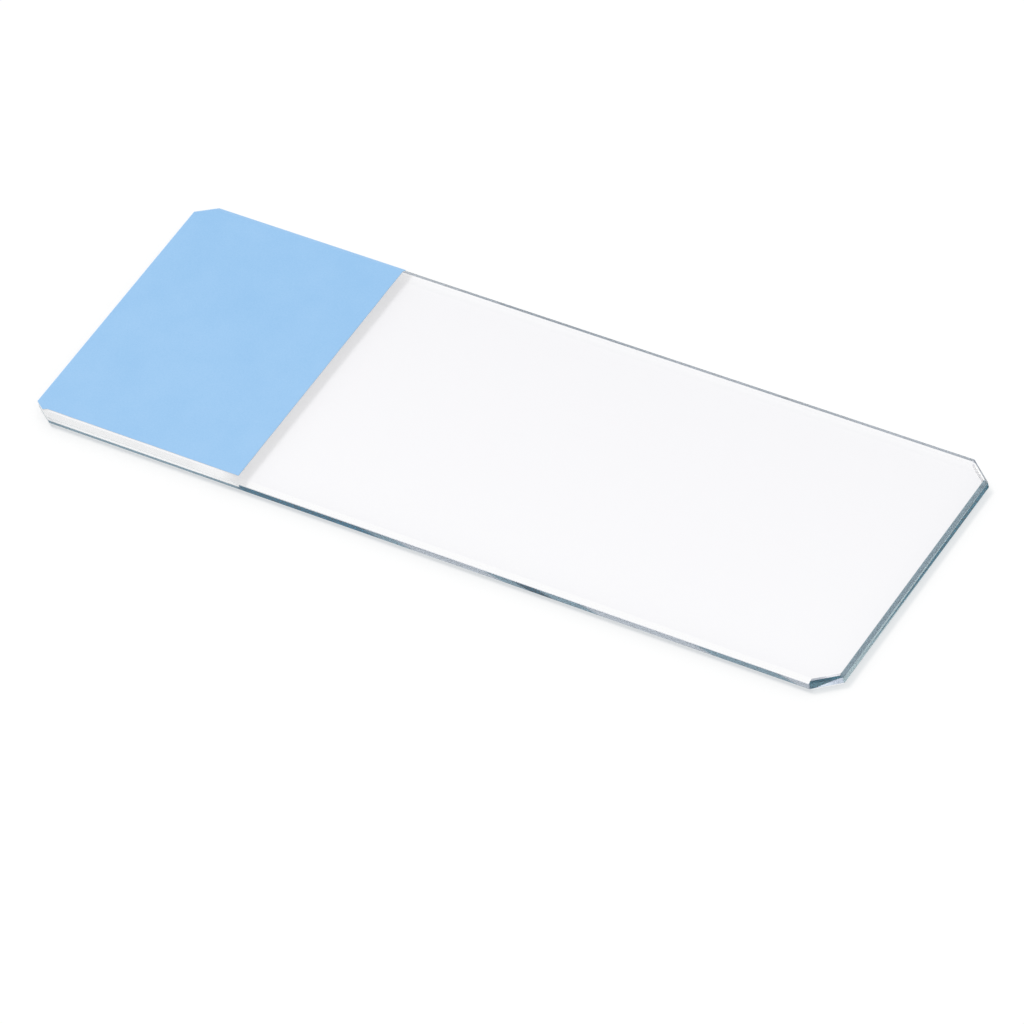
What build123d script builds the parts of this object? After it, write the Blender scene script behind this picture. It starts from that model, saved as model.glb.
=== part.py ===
# Microscope slide: one sheet of glass with ground, bevelled edges and cut corners,
# and a coloured marking coat printed on one end of its upper face.
# Millimetres, +Z up. The origin is on the underside, at the middle of the plate.
# The marking coat is at the -X end, and +Y is the far long side.
import os
from math import copysign, hypot
from build123d import *

# Plate
plate_length = 75.0        # along X
plate_width = 25.0         # along Y
plate_thickness = 1.2      # along Z

# Cut corners: how far each cut reaches from the square corner, along X and along Y
coated_cut = (1.75, 1.15)  # the two corners of the coated end
clear_cut = (2.15, 1.65)   # the two corners of the clear end

# Upper bevel: the same depth all round, and a width that differs from side to side
upper_bevel_depth = 0.24
long_side_width = 0.42
end_width = 0.24
cut_corner_width = 0.30

# Lower bevel: 45 degrees all round
lower_bevel = 0.35

# Marking coat, on the upper face and over its bevels
coat_length = 20.0         # from the plate's end to the coat's straight inner edge
coat_thickness = 0.08      # measured straight up
coat_set_back = 0.15       # bare glass between the near bevel and the coat


def outline_corners():
    """The eight corners, counter-clockwise, from the near corner of the clear end."""
    half_x = plate_length / 2
    half_y = plate_width / 2
    clear_x, clear_y = clear_cut
    coated_x, coated_y = coated_cut
    far = [
        (half_x, half_y - clear_y),
        (half_x - clear_x, half_y),
        (-half_x + coated_x, half_y),
        (-half_x, half_y - coated_y),
    ]
    near = [(x, -y) for x, y in reversed(far)]
    return near[-1:] + far + near[:-1]


def bevel_plane(start, end, wall_height, face_height, width):
    """The plane of one side's bevel, facing outward: it leaves the side wall at wall_height
    and reaches face_height at this width inside the side."""
    run_x = end[0] - start[0]
    run_y = end[1] - start[1]
    run = hypot(run_x, run_y)
    depth = abs(face_height - wall_height)
    tilt = copysign(width, face_height - wall_height)
    facing = (depth * run_y / run, -depth * run_x / run, tilt)
    return Plane(origin=(start[0], start[1], wall_height), z_dir=facing)


def make_glass_plate():
    """The sheet of glass, ground to a bevel along all eight sides, above and below."""
    corners = outline_corners()
    shoulder = plate_thickness - upper_bevel_depth
    widths = [end_width, cut_corner_width, long_side_width, cut_corner_width] * 2
    plate = extrude(Polygon(*corners, align=None), amount=plate_thickness)
    for start, end, width in zip(corners, corners[1:] + corners[:1], widths):
        upper = bevel_plane(start, end, shoulder, plate_thickness, width)
        lower = bevel_plane(start, end, lower_bevel, 0, lower_bevel)
        plate = split(plate, upper, keep=Keep.BOTTOM)
        plate = split(plate, lower, keep=Keep.BOTTOM)
    return plate


def make_marking_coat(plate):
    """The printed coat: a layer on the upper face and its bevels, over the coated end only."""
    near_limit = -plate_width / 2 + long_side_width + coat_set_back
    printed = Pos(-plate_length / 2, near_limit) * Box(
        coat_length, plate_width, 2 * plate_thickness, align=(Align.MIN, Align.MIN, Align.MIN)
    )
    raised = Pos(0, 0, coat_thickness) * plate
    return (raised - plate) & printed


glass_plate = make_glass_plate()
nodes = {
    "glass_plate": glass_plate,
    "marking_coat": make_marking_coat(glass_plate),
}

os.makedirs("parts", exist_ok=True)
for name, shape in nodes.items():
    shape.label = name
    export_step(shape, f"parts/{name}.step")
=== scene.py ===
import math
import bmesh
import bpy
from mathutils import Matrix, Vector, noise


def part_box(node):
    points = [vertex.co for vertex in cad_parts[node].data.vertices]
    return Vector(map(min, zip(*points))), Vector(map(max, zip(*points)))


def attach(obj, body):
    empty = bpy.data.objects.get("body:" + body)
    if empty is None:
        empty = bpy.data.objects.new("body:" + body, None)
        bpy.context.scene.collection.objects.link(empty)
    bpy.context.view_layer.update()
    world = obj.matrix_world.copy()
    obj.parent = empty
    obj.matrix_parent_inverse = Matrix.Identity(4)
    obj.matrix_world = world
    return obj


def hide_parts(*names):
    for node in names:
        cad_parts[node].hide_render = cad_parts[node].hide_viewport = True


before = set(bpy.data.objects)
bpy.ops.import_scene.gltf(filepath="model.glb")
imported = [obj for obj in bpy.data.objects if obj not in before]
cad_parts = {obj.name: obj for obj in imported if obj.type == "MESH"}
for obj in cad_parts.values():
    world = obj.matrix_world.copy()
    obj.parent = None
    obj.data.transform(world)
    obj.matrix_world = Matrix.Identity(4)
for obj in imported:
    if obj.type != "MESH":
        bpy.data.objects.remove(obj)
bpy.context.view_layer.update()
plateLow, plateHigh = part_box("glass_plate")
coatLow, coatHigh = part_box("marking_coat")
plateMiddle = (plateLow + plateHigh) / 2
mm = 0.001

lightBounces = 64  # light bounces on inside the glass until it leaves through an edge
cycles = bpy.context.scene.cycles
cycles.max_bounces = lightBounces
cycles.glossy_bounces = lightBounces
cycles.transmission_bounces = lightBounces


# camera

cameraLook = {
    "aimOffset": (4.019 * mm, -5.734 * mm),  # from the plate's middle, on its underside
    "azimuth": 43.09,  # degrees, 0 looks along +Y
    "elevation": 45.658,
    "roll": -14.717,
    "distance": 667.3 * mm,
    "lens": 303.06,
    "clip": (0.01, 10.0),
}


def makeCamera(look):
    azimuth = math.radians(look["azimuth"])
    elevation = math.radians(look["elevation"])
    roll = math.radians(look["roll"])
    back = Vector((
        math.sin(azimuth) * math.cos(elevation),
        -math.cos(azimuth) * math.cos(elevation),
        math.sin(elevation),
    ))
    level = Vector((math.cos(azimuth), math.sin(azimuth), 0))
    right = math.cos(roll) * level + math.sin(roll) * back.cross(level)
    turn = Matrix((right, back.cross(right), back)).transposed().to_4x4()
    aim = Vector((plateMiddle.x, plateMiddle.y, plateLow.z)) + Vector((*look["aimOffset"], 0))
    camera = bpy.data.objects.new("camera", bpy.data.cameras.new("camera"))
    camera.matrix_world = Matrix.Translation(aim + back * look["distance"]) @ turn
    camera.data.lens = look["lens"]
    camera.data.clip_start, camera.data.clip_end = look["clip"]
    bpy.context.scene.collection.objects.link(camera)
    bpy.context.scene.camera = camera


makeCamera(cameraLook)
print("camera placed")


# node helpers

def newMaterial(name):
    material = bpy.data.materials.new(name)
    material.use_nodes = True
    material.node_tree.nodes.clear()
    return material, material.node_tree


def addNode(tree, kind, **settings):
    node = tree.nodes.new("ShaderNode" + kind)
    for setting, value in settings.items():
        setattr(node, setting, value)
    return node


def plug(tree, value, socket):
    # a socket is linked, and anything else is typed into the field
    if isinstance(value, bpy.types.NodeSocket):
        tree.links.new(value, socket)
    elif hasattr(value, "__len__") and len(value) == 3 and socket.type == "RGBA":
        socket.default_value = (*value, 1)
    else:
        socket.default_value = value


def maths(tree, operation, first, second=0.0):
    node = addNode(tree, "Math", operation=operation)
    plug(tree, first, node.inputs[0])
    plug(tree, second, node.inputs[1])
    return node.outputs[0]


def mixColours(tree, amount, first, second):
    node = addNode(tree, "Mix", data_type="RGBA")
    plug(tree, amount, node.inputs["Factor"])
    plug(tree, first, node.inputs[6])
    plug(tree, second, node.inputs[7])
    return node.outputs[2]


# masks are 1 inside and 0 outside

def above(tree, value, limit):
    return maths(tree, "GREATER_THAN", value, limit)


def below(tree, value, limit):
    return maths(tree, "LESS_THAN", value, limit)


def both(tree, first, second):
    return maths(tree, "MULTIPLY", first, second)


def outside(tree, mask):
    return maths(tree, "SUBTRACT", 1.0, mask)


def slide(tree, place, low, high, atLow, atHigh):
    # a value that runs from one to another between two places, and holds beyond them
    node = addNode(tree, "MapRange")
    for socket, value in zip(node.inputs, (place, low, high, atLow, atHigh)):
        plug(tree, value, socket)
    return node.outputs[0]


def bands(tree, place, low, high, stops):
    # colours along one direction, blended from stop to stop
    node = addNode(tree, "ValToRGB")
    tree.links.new(slide(tree, place, low, high, 0, 1), node.inputs[0])
    ramp = node.color_ramp
    while len(ramp.elements) < len(stops):
        ramp.elements.new(1)
    for element, (at, colour) in zip(ramp.elements, stops):
        element.position = (at - low) / (high - low)
        element.color = (*colour, 1)
    return node.outputs[0]


def placeOn(tree):
    # x, y and z on the piece, in metres
    split = addNode(tree, "SeparateXYZ")
    tree.links.new(addNode(tree, "TexCoord").outputs["Object"], split.inputs[0])
    return split.outputs


def seenRays(tree):
    # camera, glossy and transmission rays: what the eye meets, straight or in the glass
    path = addNode(tree, "LightPath")
    direct = maths(tree, "MAXIMUM", path.outputs["Is Camera Ray"], path.outputs["Is Glossy Ray"])
    return maths(tree, "MAXIMUM", direct, path.outputs["Is Transmission Ray"])


def letLightThrough(tree, shader, tint, out):
    # light on its way to the floor goes straight through, filtered by the tint
    path = addNode(tree, "LightPath")
    passing = maths(tree, "MAXIMUM", path.outputs["Is Shadow Ray"], path.outputs["Is Diffuse Ray"])
    clear = addNode(tree, "BsdfTransparent")
    plug(tree, tint, clear.inputs["Color"])
    mix = addNode(tree, "MixShader")
    tree.links.new(passing, mix.inputs[0])
    tree.links.new(shader, mix.inputs[1])
    tree.links.new(clear.outputs[0], mix.inputs[2])
    tree.links.new(mix.outputs[0], out.inputs["Surface"])


def wear(piece, material):
    piece.data.materials.clear()
    piece.data.materials.append(material)


# floor and light

floorLook = {
    "size": 4.0,
    "gap": 0.03 * mm,  # below the plate
    "lit": (0.97, 0.97, 0.97),  # colour towards light that goes on to other things
    "seen": (1, 1, 1),
}

lightLook = {
    "sky": 0.56,  # strength towards the object and the floor
    "skySeen": 1.0,  # strength as the eye meets it
    "sun": 0.46,  # what it adds to a level white floor
    "sunWay": (0.43, -0.05, -1.1),
    "sunAngle": 18,  # degrees
}


def makeFloor(look):
    bpy.ops.mesh.primitive_plane_add(size=look["size"], location=(0, 0, plateLow.z - look["gap"]))
    floor = bpy.context.object
    floor.name = "floor"
    material, tree = newMaterial("floor")
    bsdf = addNode(tree, "BsdfDiffuse")
    colour = mixColours(tree, seenRays(tree), look["lit"], look["seen"])
    plug(tree, colour, bsdf.inputs["Color"])
    out = addNode(tree, "OutputMaterial")
    tree.links.new(bsdf.outputs[0], out.inputs["Surface"])
    wear(floor, material)


def makeSky(look):
    world = bpy.data.worlds.new("world")
    bpy.context.scene.world = world
    world.use_nodes = True
    tree = world.node_tree
    background = tree.nodes["Background"]
    background.inputs["Color"].default_value = (1, 1, 1, 1)
    strength = slide(tree, seenRays(tree), 0, 1, look["sky"], look["skySeen"])
    tree.links.new(strength, background.inputs["Strength"])


def makeSun(look):
    sun = bpy.data.objects.new("sun", bpy.data.lights.new("sun", "SUN"))
    way = Vector(look["sunWay"])
    sun.data.energy = look["sun"] * math.pi * way.length / abs(way.z)
    sun.data.angle = math.radians(look["sunAngle"])
    sun.visible_glossy = False  # a soft lamp that glass doesn't mirror
    sun.visible_transmission = False
    sun.rotation_mode = "QUATERNION"
    sun.rotation_quaternion = way.to_track_quat("-Z", "Y")
    bpy.context.scene.collection.objects.link(sun)


makeFloor(floorLook)
makeSky(lightLook)
makeSun(lightLook)
bpy.context.scene.view_settings.view_transform = "Standard"
print("floor and light placed")


# shader groups

def startGroup(name, inputs, outputs):
    tree = bpy.data.node_groups.new(name, "ShaderNodeTree")
    for socket, value in inputs.items():
        made = tree.interface.new_socket(socket, in_out="INPUT", socket_type="NodeSocketFloat")
        made.default_value = value
    for socket in outputs:
        tree.interface.new_socket(socket, in_out="OUTPUT", socket_type="NodeSocketFloat")
    return tree, tree.nodes.new("NodeGroupInput").outputs, tree.nodes.new("NodeGroupOutput").inputs


def makeMottleGroup():
    # soft blotches over fine grain, from 0 to 1
    blotchDetail = 3.0
    grainDetail = 1.0
    cloudRange = (0.3, 0.7)  # the part of the clouds that is spread from 0 to 1
    inputs = {"Blotch Size mm": 3.0, "Grain Size mm": 0.1, "Grain Share": 0.4}
    tree, given, result = startGroup("mottle", inputs, ["Amount"])
    place = addNode(tree, "TexCoord").outputs["Object"]
    clouds = []
    for size, detail in (("Blotch Size mm", blotchDetail), ("Grain Size mm", grainDetail)):
        cloud = addNode(tree, "TexNoise", noise_dimensions="3D")
        tree.links.new(place, cloud.inputs["Vector"])
        tree.links.new(maths(tree, "DIVIDE", 1 / mm, given[size]), cloud.inputs["Scale"])
        cloud.inputs["Detail"].default_value = detail
        clouds.append(cloud.outputs[0])
    mix = addNode(tree, "Mix", data_type="FLOAT")
    tree.links.new(given["Grain Share"], mix.inputs["Factor"])
    tree.links.new(clouds[0], mix.inputs[2])
    tree.links.new(clouds[1], mix.inputs[3])
    tree.links.new(slide(tree, mix.outputs[0], *cloudRange, 0, 1), result["Amount"])
    return tree


def makeFacingGroup():
    # Steep is 1 where the normal's z, either way, is under Slope, and Under where the face looks down
    looksDown = -0.5
    tree, given, result = startGroup("facing", {"Slope": 0.2}, ["Steep", "Under"])
    split = addNode(tree, "SeparateXYZ")
    tree.links.new(addNode(tree, "NewGeometry").outputs["True Normal"], split.inputs[0])
    flatness = maths(tree, "ABSOLUTE", split.outputs["Z"])
    tree.links.new(below(tree, flatness, given["Slope"]), result["Steep"])
    tree.links.new(below(tree, split.outputs["Z"], looksDown), result["Under"])
    return tree


mottleGroup = makeMottleGroup()
facingGroup = makeFacingGroup()


def placeGroup(tree, group, **values):
    node = addNode(tree, "Group", node_tree=group)
    for socket, value in values.items():
        plug(tree, value, node.inputs[socket.replace("_", " ")])
    return node.outputs


print("shader groups made")


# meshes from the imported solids

sameSpot = 0.001 * mm  # corners this close are one
sameFlat = math.radians(1)  # triangles this level with each other are one face
roundProfile = 0.5


def solidMesh(node):
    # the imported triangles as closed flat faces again
    mesh = bmesh.new()
    mesh.from_mesh(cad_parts[node].data)
    bmesh.ops.remove_doubles(mesh, verts=mesh.verts, dist=sameSpot)
    bmesh.ops.dissolve_limit(mesh, angle_limit=sameFlat, verts=mesh.verts, edges=mesh.edges)
    return mesh


def roundEdges(mesh, edges, radius, segments):
    bmesh.ops.bevel(
        mesh, geom=edges, offset=radius, segments=segments, affect="EDGES", profile=roundProfile
    )


def addPiece(name, mesh, node):
    bmesh.ops.recalc_face_normals(mesh, faces=mesh.faces)
    data = bpy.data.meshes.new(name)
    mesh.to_mesh(data)
    mesh.free()
    piece = bpy.data.objects.new(name, data)
    bpy.context.scene.collection.objects.link(piece)
    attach(piece, "root")
    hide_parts(node)
    return piece


# glass: places are mm along, across and up the plate

lowCorner = plateLow / mm
highCorner = plateHigh / mm
halfHeight = (lowCorner.z + highCorner.z) / 2
underCoatTo = -17.2  # along, where the near side is clear of the coat
cutsFrom = 35.4  # along, where the clear end's cut corners start
cutsAcross = 10.7  # across, either way, where they start

# painted reflections seen inside the ground near side, from dark to pale
darkReflection = (0.0001, 0.005, 0.014)
deepReflection = (0.0005, 0.018, 0.048)
midReflection = (0.032, 0.081, 0.119)
paleReflection = (0.19, 0.236, 0.285)
clearGlass = (1, 1, 1)

glassLook = {
    "arris": 0.04 * mm,  # rounding left where the ground faces meet
    "arrisSegments": 3,
    "ior": 1.52,
    "absorbed": (0.003, 0.003, 0.002),  # share of red, green and blue lost in each mm
    # a face is ground where its normal's z is under groundSlope, and upright under sideSlope
    "groundSlope": 0.98,
    "sideSlope": 0.2,
    # the upper face, across
    # painted shade on the upper face, across: darker towards the far side and lighter again at the
    # far edge
    "faceShadeBands": [
        (-12.5, (0.925, 0.92, 0.946)), (10.9, (0.861, 0.856, 0.886)), (12.0, (0.97, 0.965, 0.98)),
    ],
    # painted reflections on the near side, along: dark and pale bands seen inside the glass
    "nearLean": 3,  # mm along for each mm of height
    "leanGrows": 8,  # mm past the coat, from upright to the full lean
    "nearPaintedBands": [
        (-17.4, (0.035, 0.085, 0.13)), (underCoatTo, deepReflection), (-5.0, deepReflection), (-4.2, midReflection),
        (-1.9, midReflection), (-0.9, paleReflection), (6.4, paleReflection), (7.1, midReflection),
        (9.0, midReflection), (9.5, darkReflection), (11.4, darkReflection), (11.9, midReflection),
        (15.5, midReflection), (16.2, paleReflection), (25.6, paleReflection), (26.4, midReflection),
        (33.4, midReflection), (34.1, paleReflection), (35.5, paleReflection),
    ],
    "clearUnderCoat": 0.66,  # under the coat, the near side is clear above this height
    # painted reflections on the two ends, with a dark painted streak that widens across
    "endWall": 0.06,  # how far in from the end its upright face counts, with its rounding
    "endReflection": (0.235, 0.42, 0.43),
    "endPaintedStreak": (0.0005, 0.03, 0.06),
    "endStreakHeight": 0.6,
    "endStreakTip": (-9.0, 0.0),  # mm across, and half its height there
    "endStreakHead": (10.8, 0.3),
    # painted reflection and shade on the clear end's near cut, darker above a slanting line
    "cutReflection": (0.6, 0.75, 0.9),
    "cutShade": (0.008, 0.04, 0.062),
    "cutShadeFrom": ((cutsFrom, 0.3), (37.4, 1.0)),  # mm along, and the height it starts at
    # painted shade and reflection on the upper bevels of the ends, the cuts and the far side, across
    "bevelPaintedBands": [
        (-10.95, (0.004, 0.035, 0.06)), (-cutsAcross, (0.08, 0.142, 0.18)),
        (cutsAcross, (0.08, 0.142, 0.18)), (10.95, (0.18, 0.22, 0.27)),
    ],
    "cutLineTop": 1.08,  # the clear end's cuts have a clear upper bevel above this height
    "cutLineEnd": 0.28,  # and it stops this far short of the end
    # painted shade of the coat on the near upper bevel, beside the coat
    "stripShade": (0.78, 0.785, 0.79),
    "stripFades": (-22.0, -18.2),  # mm along, from full strip tone to none
    # roughness of the ground faces
    "edgeRoughness": 0.08,
    "endRoughness": 0.3,
    "endGrinding": 0.36,  # how far in from the end its ground faces reach
    "farCutRoughness": 0.9,  # the lower bevel only
    "farCutFrom": 10.5,  # mm across
    "mottle": {"Blotch_Size_mm": 1.5, "Grain_Size_mm": 0.06, "Grain_Share": 0.6},
    "mottled": (0.7, 1.3),  # share of the roughness where the mottle is 0 and 1
    # light let through to the floor
    "edgeShadow": (0.6, 0.63, 0.65),
    "endShadow": (0.67, 0.7, 0.72),
    "shadowHeights": (0.03, 0.95),  # the lower bevel and the wall
    "shadowFades": (10.5, 12.4),  # mm across, from full edge shadow to none
}


def makeGlassMesh(look):
    mesh = solidMesh("glass_plate")
    roundEdges(mesh, mesh.edges[:], look["arris"], look["arrisSegments"])
    return addPiece("groundGlass", mesh, "glass_plate")


# painted reflections along the near side, their bands leaning with height past the coat
def nearReflection(tree, look, along, height):
    lean = maths(tree, "MULTIPLY", maths(tree, "SUBTRACT", height, halfHeight), look["nearLean"])
    coatEdge = coatHigh.x / mm
    grown = slide(tree, along, coatEdge, coatEdge + look["leanGrows"], 0, 1)
    leaning = maths(tree, "ADD", along, maths(tree, "MULTIPLY", lean, grown))
    tone = bands(tree, leaning, lowCorner.x, highCorner.x, look["nearPaintedBands"])
    clear = both(tree, above(tree, height, look["clearUnderCoat"]), below(tree, along, underCoatTo))
    return mixColours(tree, clear, tone, clearGlass)


# painted reflection on the near cut, with painted shade above a slanting line
def cutReflection(tree, look, along, height):
    (left, leftHeight), (right, rightHeight) = look["cutShadeFrom"]
    start = slide(tree, along, left, right, leftHeight, rightHeight)
    return mixColours(tree, above(tree, height, start), look["cutReflection"], look["cutShade"])


# painted reflections on the ends, and a dark painted streak about a set height that widens across
def endReflection(tree, look, across, height):
    (tip, tipHalf), (head, headHalf) = look["endStreakTip"], look["endStreakHead"]
    reach = slide(tree, across, tip, head, tipHalf, headHalf)
    offset = maths(tree, "ABSOLUTE", maths(tree, "SUBTRACT", height, look["endStreakHeight"]))
    return mixColours(tree, above(tree, reach, offset), look["endReflection"], look["endPaintedStreak"])


# painted reflections and shade on the upright faces: the near side, the near cut and the ends; the
# far side stays clear
def sideTone(tree, look, along, across, height):
    near = nearReflection(tree, look, along, height)
    near = mixColours(tree, above(tree, along, cutsFrom), near, cutReflection(tree, look, along, height))
    tone = mixColours(tree, below(tree, across, 0), clearGlass, near)
    atEnd = above(tree, maths(tree, "ABSOLUTE", along), highCorner.x - look["endWall"])
    return mixColours(tree, atEnd, tone, endReflection(tree, look, across, height))


# painted shade and reflection on the upper bevels; the near one and a line along the clear end's cuts
# stay clear
def bevelReflection(tree, look, along, across, height):
    tone = bands(tree, across, lowCorner.y, highCorner.y, look["bevelPaintedBands"])
    pastCut = above(tree, along, cutsFrom)
    onCut = both(tree, pastCut, above(tree, maths(tree, "ABSOLUTE", across), cutsAcross))
    onCut = both(tree, onCut, below(tree, along, highCorner.x - look["cutLineEnd"]))
    cutLine = both(tree, onCut, above(tree, height, look["cutLineTop"]))
    near = both(tree, below(tree, across, 0), outside(tree, pastCut))
    tone = mixColours(tree, maths(tree, "MAXIMUM", near, cutLine), tone, clearGlass)
    # painted shade of the coat on the near upper bevel, fading along
    strip = both(tree, near, slide(tree, along, *look["stripFades"], 1, 0))
    return mixColours(tree, strip, tone, look["stripShade"])


# base colour: painted reflections and shade on the edges, painted shade on the upper face
def glassTone(tree, look, along, across, height, ground):
    # the lower bevels and the lower face are clear
    upper = above(tree, height, halfHeight)
    side = placeGroup(tree, facingGroup, Slope=look["sideSlope"])["Steep"]
    bevel = mixColours(tree, upper, clearGlass, bevelReflection(tree, look, along, across, height))
    edge = mixColours(tree, side, bevel, sideTone(tree, look, along, across, height))
    # painted shade on the upper face
    face = bands(tree, across, lowCorner.y, highCorner.y, look["faceShadeBands"])
    face = mixColours(tree, upper, clearGlass, face)
    return mixColours(tree, ground, face, edge)


def glassRoughness(tree, look, along, across, height, ground):
    pastEnd = above(tree, maths(tree, "ABSOLUTE", along), highCorner.x - look["endGrinding"])
    rough = slide(tree, pastEnd, 0, 1, look["edgeRoughness"], look["endRoughness"])
    mottle = placeGroup(tree, mottleGroup, **look["mottle"])["Amount"]
    rough = maths(tree, "MULTIPLY", rough, slide(tree, mottle, 0, 1, *look["mottled"]))
    farCut = both(tree, above(tree, along, cutsFrom), above(tree, across, look["farCutFrom"]))
    farCut = both(tree, farCut, outside(tree, above(tree, height, halfHeight)))
    rough = maths(tree, "MAXIMUM", rough, maths(tree, "MULTIPLY", farCut, look["farCutRoughness"]))
    return maths(tree, "MULTIPLY", ground, rough)


def glassShade(tree, look, along, across, height):
    near = slide(tree, across, *look["shadowFades"], 1, 0)
    low, high = look["shadowHeights"]
    shaded = both(tree, near, both(tree, above(tree, height, low), below(tree, height, high)))
    shade = mixColours(tree, above(tree, along, cutsFrom), look["edgeShadow"], look["endShadow"])
    return mixColours(tree, shaded, clearGlass, shade)


def absorbLight(tree, look, out):
    # the colour that loses most sets the density
    density = max(look["absorbed"]) / mm
    volume = addNode(tree, "VolumeAbsorption")
    volume.inputs["Density"].default_value = density
    kept = [1 - lost / mm / density for lost in look["absorbed"]]
    volume.inputs["Color"].default_value = (*kept, 1)
    tree.links.new(volume.outputs[0], out.inputs["Volume"])


def makeGlass(look):
    material, tree = newMaterial("clearGlass")
    out = addNode(tree, "OutputMaterial")
    bsdf = addNode(tree, "BsdfPrincipled")
    bsdf.inputs["Transmission Weight"].default_value = 1
    bsdf.inputs["IOR"].default_value = look["ior"]
    along, across, height = [maths(tree, "DIVIDE", axis, mm) for axis in placeOn(tree)]
    ground = placeGroup(tree, facingGroup, Slope=look["groundSlope"])["Steep"]
    tone = glassTone(tree, look, along, across, height, ground)
    plug(tree, tone, bsdf.inputs["Base Color"])
    rough = glassRoughness(tree, look, along, across, height, ground)
    plug(tree, rough, bsdf.inputs["Roughness"])
    shade = glassShade(tree, look, along, across, height)
    letLightThrough(tree, bsdf.outputs[0], shade, out)
    absorbLight(tree, look, out)
    return material


wear(makeGlassMesh(glassLook), makeGlass(glassLook))
print("glass made")


# marking coat

coatLook = {
    "sink": 0.004 * mm,  # how far the underside is bonded into the glass
    "rim": 0.025 * mm,  # rounding along the coat's upper edges
    "rimSegments": 2,
    "waver": 0.03 * mm,  # how far the printed edges wander inwards
    "waverStep": 0.5 * mm,
    "waverLength": 1.8 * mm,
    "waverApart": 9,  # wave lengths between the two edges' patterns
    "colour": (0.303, 0.552, 0.853),
    "paler": (0.353, 0.597, 0.887),
    "body": (0.98, 0.985, 0.99),  # seen from below and at the edges
    "roughness": (0.5, 0.7),
    "mottle": {"Blotch_Size_mm": 3.0, "Grain_Size_mm": 0.12, "Grain_Share": 0.5},
    "palerNear": 0.2,  # added to the mottle at the near side, and taken off at the far side
    "grain": 0.002 * mm,  # depth of the print's surface texture
    "shadow": (0.8, 0.8, 0.8),  # light let through along the inner edge
    "shadowFades": (2.4 * mm, 1.2 * mm),  # from the inner edge, from no shadow to the full one
}

looksUp = 0.5  # a face on top has a normal whose z is over this, and one below under its negative
upright = 0.1  # a face round the outside has a z nearer to 0 than this


def sliceUp(mesh, way, low, high, step):
    # rows of edges across the mesh, at right angles to the way
    for row in range(1, math.ceil((high - low) / step)):
        geom = mesh.verts[:] + mesh.edges[:] + mesh.faces[:]
        bmesh.ops.bisect_plane(mesh, geom=geom, plane_co=way * (low + row * step), plane_no=way)


def isRim(edge):
    tilts = [face.normal.z for face in edge.link_faces]
    return max(tilts) > looksUp and min(abs(tilt) for tilt in tilts) < upright


def isUnder(vert):
    return any(face.normal.z < -looksUp for face in vert.link_faces)


def wander(look, *place):
    # from 0 to the full waver
    return look["waver"] * (0.5 + 0.5 * noise.noise(Vector(place)))


def makeCoatMesh(look):
    mesh = solidMesh("marking_coat")
    sliceUp(mesh, Vector((1, 0, 0)), coatLow.x, coatHigh.x, look["waverStep"])
    sliceUp(mesh, Vector((0, 1, 0)), coatLow.y, coatHigh.y, look["waverStep"])
    for face in mesh.faces:
        face.normal_update()
    rims = [edge for edge in mesh.edges if isRim(edge)]
    under = [vert for vert in mesh.verts if isUnder(vert)]
    for vert in mesh.verts:
        place = vert.co / look["waverLength"]
        if vert.co.x > coatHigh.x - look["rim"]:
            vert.co.x -= wander(look, 0, place.y, 0)
        if vert.co.y < coatLow.y + look["rim"]:
            vert.co.y += wander(look, place.x, 0, look["waverApart"])
    for vert in under:
        vert.co.z -= look["sink"]
    roundEdges(mesh, rims, look["rim"], look["rimSegments"])
    return addPiece("printedCoat", mesh, "marking_coat")


def coatShade(tree, look, along):
    fades = [coatHigh.x - reach for reach in look["shadowFades"]]
    return mixColours(tree, slide(tree, along, *fades, 0, 1), (1, 1, 1), look["shadow"])


def makeCoat(look):
    material, tree = newMaterial("printedCoat")
    out = addNode(tree, "OutputMaterial")
    bsdf = addNode(tree, "BsdfPrincipled")
    along, across = placeOn(tree)[:2]
    mottle = placeGroup(tree, mottleGroup, **look["mottle"])["Amount"]
    drift = slide(tree, across, coatLow.y, coatHigh.y, look["palerNear"], -look["palerNear"])
    pale = maths(tree, "ADD", mottle, drift)
    colour = mixColours(tree, pale, look["colour"], look["paler"])
    facing = placeGroup(tree, facingGroup)
    body = maths(tree, "MAXIMUM", facing["Under"], facing["Steep"])
    plug(tree, mixColours(tree, body, colour, look["body"]), bsdf.inputs["Base Color"])
    plug(tree, slide(tree, mottle, 0, 1, *look["roughness"]), bsdf.inputs["Roughness"])
    bump = addNode(tree, "Bump")
    bump.inputs["Distance"].default_value = look["grain"]
    tree.links.new(mottle, bump.inputs["Height"])
    tree.links.new(bump.outputs[0], bsdf.inputs["Normal"])
    letLightThrough(tree, bsdf.outputs[0], coatShade(tree, look, along), out)
    return material


wear(makeCoatMesh(coatLook), makeCoat(coatLook))
print("coat made")
